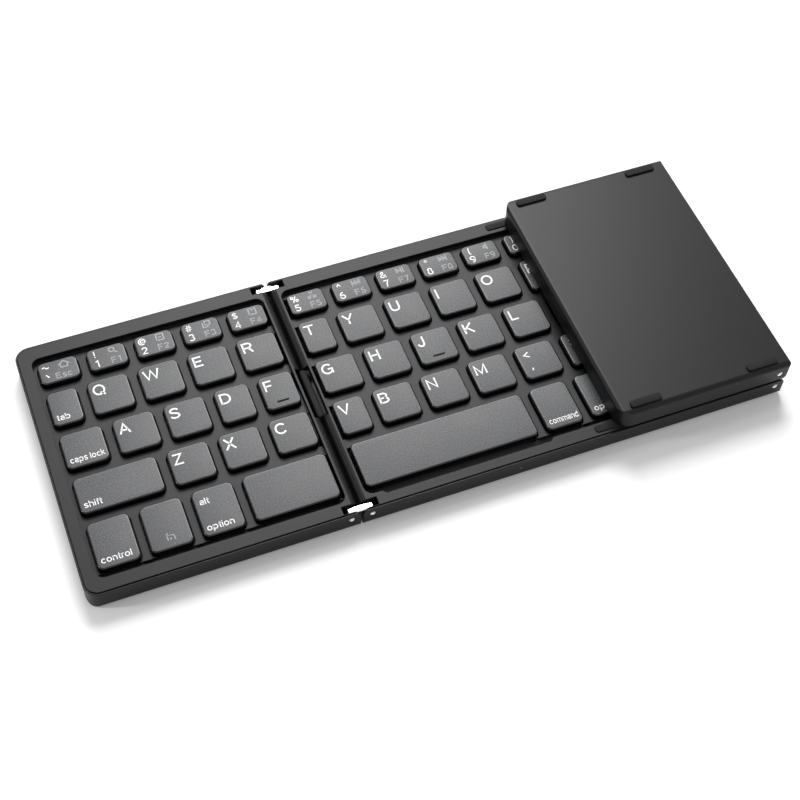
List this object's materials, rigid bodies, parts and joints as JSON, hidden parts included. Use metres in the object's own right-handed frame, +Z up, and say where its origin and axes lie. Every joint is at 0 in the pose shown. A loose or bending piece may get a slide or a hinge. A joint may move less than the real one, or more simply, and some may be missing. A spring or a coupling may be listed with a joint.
{
  "type": "folding keyboard",
  "caption": "Pocket keyboard in three panels: left panel open with its keys, right panel folded back over the middle one, joined by steel double-pivot links.",
  "frame": {"origin": "on the table, in the middle of the outline as seen from above", "axes": "+X to the typist's right along the keyboard, +Y away from the typist, +Z up"},
  "size_m": [0.2402, 0.098, 0.0185],
  "materials": {
    "tray": "fine sprayed satin, dark grey",
    "top_frame": "fine sprayed matt, mid grey",
    "key_cap": "matt grey top with black glossy sides",
    "key_sheet": "dark dome sheet on its plate",
    "circuit_board": "green solder mask",
    "rubber": "black, matt",
    "steel": "bright, fine brushed",
    "battery_foil": "pouch foil",
    "light_guide": "clear, milky",
    "touch_surface": "fine matt glass-like film"
  },
  "bodies": {
    "middle": {"middle_shell": "tray", "middle_frame": "top_frame", "middle_key_plate": "key_sheet", "middle_board": "circuit_board", "battery": "battery_foil", "bumper_pads": "rubber", "middle_feet": "rubber", "middle_screws": "steel", "middle_hinge_pins": "steel", "charging_socket": "steel", "status_light": "light_guide"},
    "left_link_set": {"left_links": "steel", "left_cable_bridge": "rubber"},
    "left_panel": {"left_shell": "tray", "left_frame": "top_frame", "left_key_plate": "key_sheet", "left_board": "circuit_board", "left_feet": "rubber", "left_screws": "steel", "left_hinge_pins": "steel"},
    "right_link_set": {"right_links": "steel", "right_cable_bridge": "rubber"},
    "right_panel": {"right_shell": "tray", "right_frame": "top_frame", "touchpad": "touch_surface", "right_board": "circuit_board", "right_feet": "rubber", "right_screws": "steel", "right_hinge_pins": "steel"},
    "key_esc": {"key_esc": "key_cap"},
    "key_1": {"key_1": "key_cap"},
    "key_2": {"key_2": "key_cap"},
    "key_3": {"key_3": "key_cap"},
    "key_4": {"key_4": "key_cap"},
    "key_tab": {"key_tab": "key_cap"},
    "key_q": {"key_q": "key_cap"},
    "key_w": {"key_w": "key_cap"},
    "key_e": {"key_e": "key_cap"},
    "key_r": {"key_r": "key_cap"},
    "key_caps_lock": {"key_caps_lock": "key_cap"},
    "key_a": {"key_a": "key_cap"},
    "key_s": {"key_s": "key_cap"},
    "key_d": {"key_d": "key_cap"},
    "key_f": {"key_f": "key_cap"},
    "key_left_shift": {"key_left_shift": "key_cap"},
    "key_z": {"key_z": "key_cap"},
    "key_x": {"key_x": "key_cap"},
    "key_c": {"key_c": "key_cap"},
    "key_control": {"key_control": "key_cap"},
    "key_fn": {"key_fn": "key_cap"},
    "key_alt": {"key_alt": "key_cap"},
    "key_left_space": {"key_left_space": "key_cap"},
    "middle_number_keys": {"middle_number_keys": "key_cap"},
    "middle_upper_keys": {"middle_upper_keys": "key_cap"},
    "middle_home_keys": {"middle_home_keys": "key_cap"},
    "enter_key": {"enter_key": "key_cap"},
    "middle_lower_keys": {"middle_lower_keys": "key_cap"},
    "middle_space_key": {"middle_space_key": "key_cap"},
    "middle_modifier_keys": {"middle_modifier_keys": "key_cap"},
    "arrow_keys": {"arrow_keys": "key_cap"}
  },
  "joints": [
    {"name": "left_link_swing", "type": "hinge", "parent": "middle", "child": "left_link_set", "pos_m": [-0.02815, 0, 0.00575], "axis": [0, 1, 0], "range_deg": [0, 90]},
    {"name": "left_panel_fold", "type": "hinge", "parent": "left_link_set", "child": "left_panel", "pos_m": [-0.03515, 0, 0.00575], "axis": [0, 1, 0], "range_deg": [0, 90]},
    {"name": "right_link_swing", "type": "hinge", "parent": "middle", "child": "right_link_set", "pos_m": [0.11685, 0, 0.00575], "axis": [0, 1, 0], "range_deg": [0, 90]},
    {"name": "right_panel_fold", "type": "hinge", "parent": "right_link_set", "child": "right_panel", "pos_m": [0.11685, 0, 0.01275], "axis": [0, 1, 0], "range_deg": [0, 90]},
    {"name": "key_esc_travel", "type": "slide", "parent": "left_panel", "child": "key_esc", "axis": [0, 0, -1], "range_m": [0, 0.0012], "stiffness_N_per_m": 200, "springref_m": -0.0003},
    {"name": "key_1_travel", "type": "slide", "parent": "left_panel", "child": "key_1", "axis": [0, 0, -1], "range_m": [0, 0.0012], "stiffness_N_per_m": 200, "springref_m": -0.0003},
    {"name": "key_2_travel", "type": "slide", "parent": "left_panel", "child": "key_2", "axis": [0, 0, -1], "range_m": [0, 0.0012], "stiffness_N_per_m": 200, "springref_m": -0.0003},
    {"name": "key_3_travel", "type": "slide", "parent": "left_panel", "child": "key_3", "axis": [0, 0, -1], "range_m": [0, 0.0012], "stiffness_N_per_m": 200, "springref_m": -0.0003},
    {"name": "key_4_travel", "type": "slide", "parent": "left_panel", "child": "key_4", "axis": [0, 0, -1], "range_m": [0, 0.0012], "stiffness_N_per_m": 200, "springref_m": -0.0003},
    {"name": "key_tab_travel", "type": "slide", "parent": "left_panel", "child": "key_tab", "axis": [0, 0, -1], "range_m": [0, 0.0012], "stiffness_N_per_m": 200, "springref_m": -0.0003},
    {"name": "key_q_travel", "type": "slide", "parent": "left_panel", "child": "key_q", "axis": [0, 0, -1], "range_m": [0, 0.0012], "stiffness_N_per_m": 200, "springref_m": -0.0003},
    {"name": "key_w_travel", "type": "slide", "parent": "left_panel", "child": "key_w", "axis": [0, 0, -1], "range_m": [0, 0.0012], "stiffness_N_per_m": 200, "springref_m": -0.0003},
    {"name": "key_e_travel", "type": "slide", "parent": "left_panel", "child": "key_e", "axis": [0, 0, -1], "range_m": [0, 0.0012], "stiffness_N_per_m": 200, "springref_m": -0.0003},
    {"name": "key_r_travel", "type": "slide", "parent": "left_panel", "child": "key_r", "axis": [0, 0, -1], "range_m": [0, 0.0012], "stiffness_N_per_m": 200, "springref_m": -0.0003},
    {"name": "key_caps_lock_travel", "type": "slide", "parent": "left_panel", "child": "key_caps_lock", "axis": [0, 0, -1], "range_m": [0, 0.0012], "stiffness_N_per_m": 200, "springref_m": -0.0003},
    {"name": "key_a_travel", "type": "slide", "parent": "left_panel", "child": "key_a", "axis": [0, 0, -1], "range_m": [0, 0.0012], "stiffness_N_per_m": 200, "springref_m": -0.0003},
    {"name": "key_s_travel", "type": "slide", "parent": "left_panel", "child": "key_s", "axis": [0, 0, -1], "range_m": [0, 0.0012], "stiffness_N_per_m": 200, "springref_m": -0.0003},
    {"name": "key_d_travel", "type": "slide", "parent": "left_panel", "child": "key_d", "axis": [0, 0, -1], "range_m": [0, 0.0012], "stiffness_N_per_m": 200, "springref_m": -0.0003},
    {"name": "key_f_travel", "type": "slide", "parent": "left_panel", "child": "key_f", "axis": [0, 0, -1], "range_m": [0, 0.0012], "stiffness_N_per_m": 200, "springref_m": -0.0003},
    {"name": "key_left_shift_travel", "type": "slide", "parent": "left_panel", "child": "key_left_shift", "axis": [0, 0, -1], "range_m": [0, 0.0012], "stiffness_N_per_m": 200, "springref_m": -0.0003},
    {"name": "key_z_travel", "type": "slide", "parent": "left_panel", "child": "key_z", "axis": [0, 0, -1], "range_m": [0, 0.0012], "stiffness_N_per_m": 200, "springref_m": -0.0003},
    {"name": "key_x_travel", "type": "slide", "parent": "left_panel", "child": "key_x", "axis": [0, 0, -1], "range_m": [0, 0.0012], "stiffness_N_per_m": 200, "springref_m": -0.0003},
    {"name": "key_c_travel", "type": "slide", "parent": "left_panel", "child": "key_c", "axis": [0, 0, -1], "range_m": [0, 0.0012], "stiffness_N_per_m": 200, "springref_m": -0.0003},
    {"name": "key_control_travel", "type": "slide", "parent": "left_panel", "child": "key_control", "axis": [0, 0, -1], "range_m": [0, 0.0012], "stiffness_N_per_m": 200, "springref_m": -0.0003},
    {"name": "key_fn_travel", "type": "slide", "parent": "left_panel", "child": "key_fn", "axis": [0, 0, -1], "range_m": [0, 0.0012], "stiffness_N_per_m": 200, "springref_m": -0.0003},
    {"name": "key_alt_travel", "type": "slide", "parent": "left_panel", "child": "key_alt", "axis": [0, 0, -1], "range_m": [0, 0.0012], "stiffness_N_per_m": 200, "springref_m": -0.0003},
    {"name": "key_left_space_travel", "type": "slide", "parent": "left_panel", "child": "key_left_space", "axis": [0, 0, -1], "range_m": [0, 0.0012], "stiffness_N_per_m": 200, "springref_m": -0.0003},
    {"name": "middle_number_keys_travel", "type": "slide", "parent": "middle", "child": "middle_number_keys", "axis": [0, 0, -1], "range_m": [0, 0.0012], "stiffness_N_per_m": 500, "springref_m": -0.0003},
    {"name": "middle_upper_keys_travel", "type": "slide", "parent": "middle", "child": "middle_upper_keys", "axis": [0, 0, -1], "range_m": [0, 0.0012], "stiffness_N_per_m": 500, "springref_m": -0.0003},
    {"name": "middle_home_keys_travel", "type": "slide", "parent": "middle", "child": "middle_home_keys", "axis": [0, 0, -1], "range_m": [0, 0.0012], "stiffness_N_per_m": 500, "springref_m": -0.0003},
    {"name": "enter_key_travel", "type": "slide", "parent": "middle", "child": "enter_key", "axis": [0, 0, -1], "range_m": [0, 0.0012], "stiffness_N_per_m": 200, "springref_m": -0.0003},
    {"name": "middle_lower_keys_travel", "type": "slide", "parent": "middle", "child": "middle_lower_keys", "axis": [0, 0, -1], "range_m": [0, 0.0012], "stiffness_N_per_m": 500, "springref_m": -0.0003},
    {"name": "middle_space_key_travel", "type": "slide", "parent": "middle", "child": "middle_space_key", "axis": [0, 0, -1], "range_m": [0, 0.0012], "stiffness_N_per_m": 200, "springref_m": -0.0003},
    {"name": "middle_modifier_keys_travel", "type": "slide", "parent": "middle", "child": "middle_modifier_keys", "axis": [0, 0, -1], "range_m": [0, 0.0012], "stiffness_N_per_m": 500, "springref_m": -0.0003},
    {"name": "arrow_keys_travel", "type": "slide", "parent": "middle", "child": "arrow_keys", "axis": [0, 0, -1], "range_m": [0, 0.0012], "stiffness_N_per_m": 500, "springref_m": -0.0003}
  ],
  "couplings": [
    {"joint": "left_panel_fold", "follows": "left_link_swing", "ratio": 1},
    {"joint": "right_panel_fold", "follows": "right_link_swing", "ratio": 1}
  ]
}
